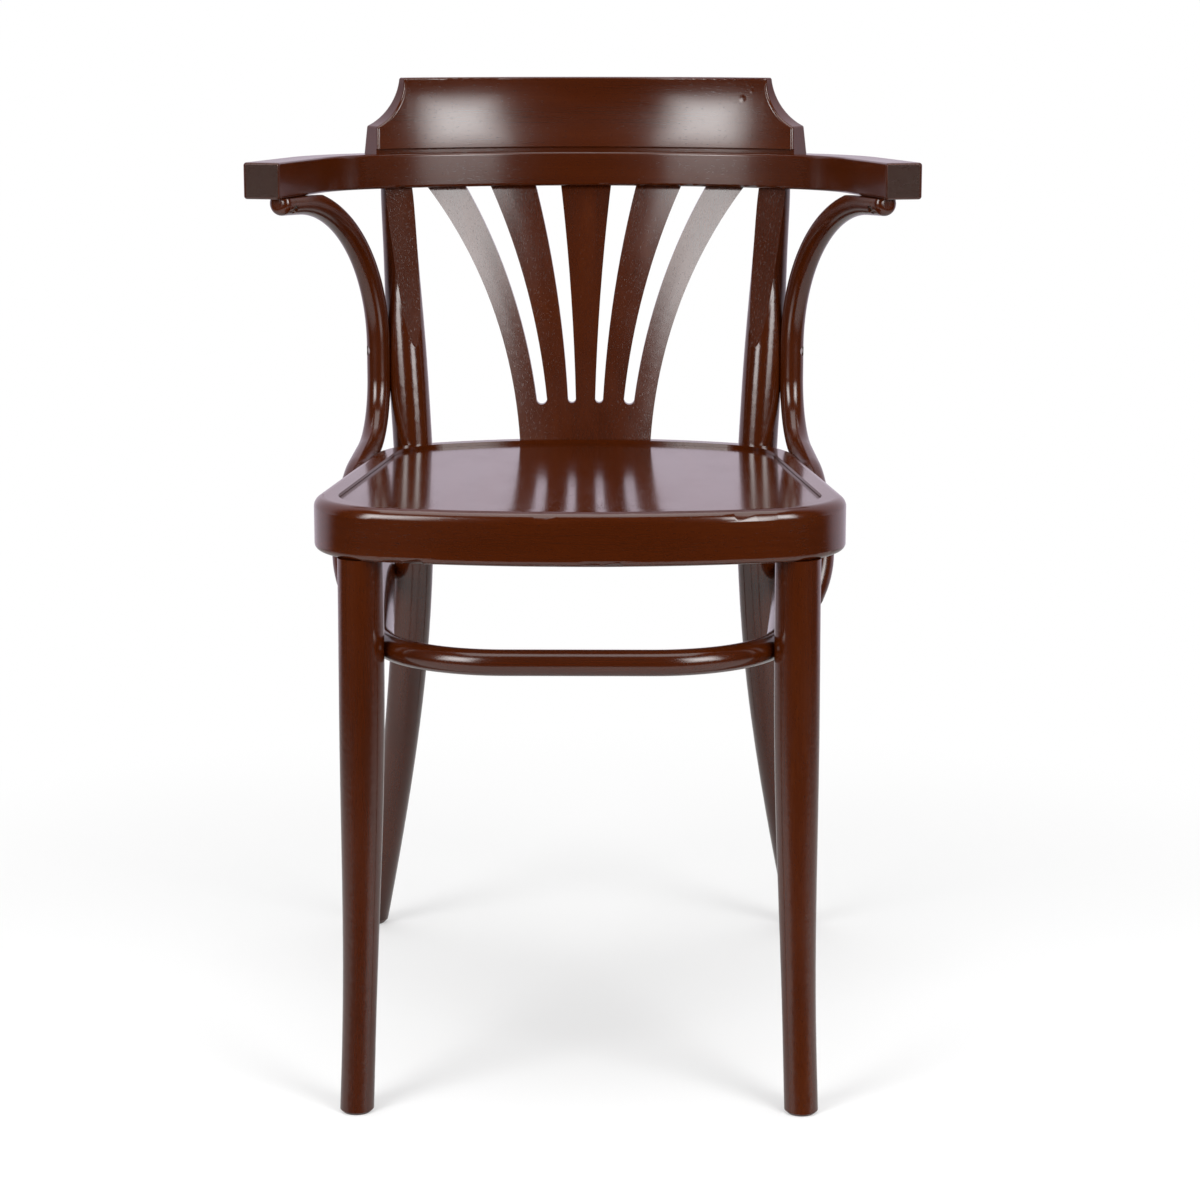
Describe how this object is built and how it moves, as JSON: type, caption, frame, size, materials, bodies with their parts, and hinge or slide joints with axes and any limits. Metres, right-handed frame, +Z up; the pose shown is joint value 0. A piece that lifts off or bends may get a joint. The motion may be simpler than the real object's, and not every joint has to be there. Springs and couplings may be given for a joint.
{
  "type": "bentwood armchair",
  "caption": "Stained bentwood bistro armchair with a fan-shaped slatted back, arm bow with crest rail, wooden seat and bent stretcher.",
  "frame": {"origin": "on the floor under the middle of the chair's bounding box", "axes": "+Z up, +Y from the front of the chair to its back, +X to the right of a person who looks at it from the front"},
  "size_m": [0.5476, 0.5198, 0.777],
  "materials": {
    "stained_beech": "gloss lacquer over dark red-brown stain",
    "stained_beech_panel": "gloss lacquer over dark red-brown stain",
    "stained_beech_legs": "gloss lacquer over dark red-brown stain",
    "stained_beech_bow": "gloss lacquer over dark red-brown stain",
    "stained_beech_crest": "gloss lacquer over dark red-brown stain",
    "stained_beech_splat": "gloss lacquer over dark red-brown stain",
    "stained_beech_rods": "gloss lacquer over dark red-brown stain",
    "plain_beech_dowels": "unfinished",
    "steel": "zinc-plated, dulled"
  },
  "bodies": {
    "root": {"seat_ring": "stained_beech", "seat_panel": "stained_beech_panel", "front_leg_left": "stained_beech_legs", "front_leg_right": "stained_beech_legs", "rear_leg_left": "stained_beech_legs", "rear_leg_right": "stained_beech_legs", "arm_bow": "stained_beech_bow", "crest_rail": "stained_beech_crest", "fan_splat": "stained_beech_splat", "arm_support_left": "stained_beech_rods", "arm_support_right": "stained_beech_rods", "leg_stretcher": "stained_beech_rods", "crest_dowels": "plain_beech_dowels", "rear_leg_bolts": "steel", "rear_leg_washers": "steel", "rear_leg_nuts": "steel", "support_arm_screws": "steel", "support_leg_screws": "steel", "support_ring_screws": "steel", "support_stretcher_screws": "steel", "stretcher_front_screws": "steel", "stretcher_rear_screws": "steel"}
  },
  "joints": []
}
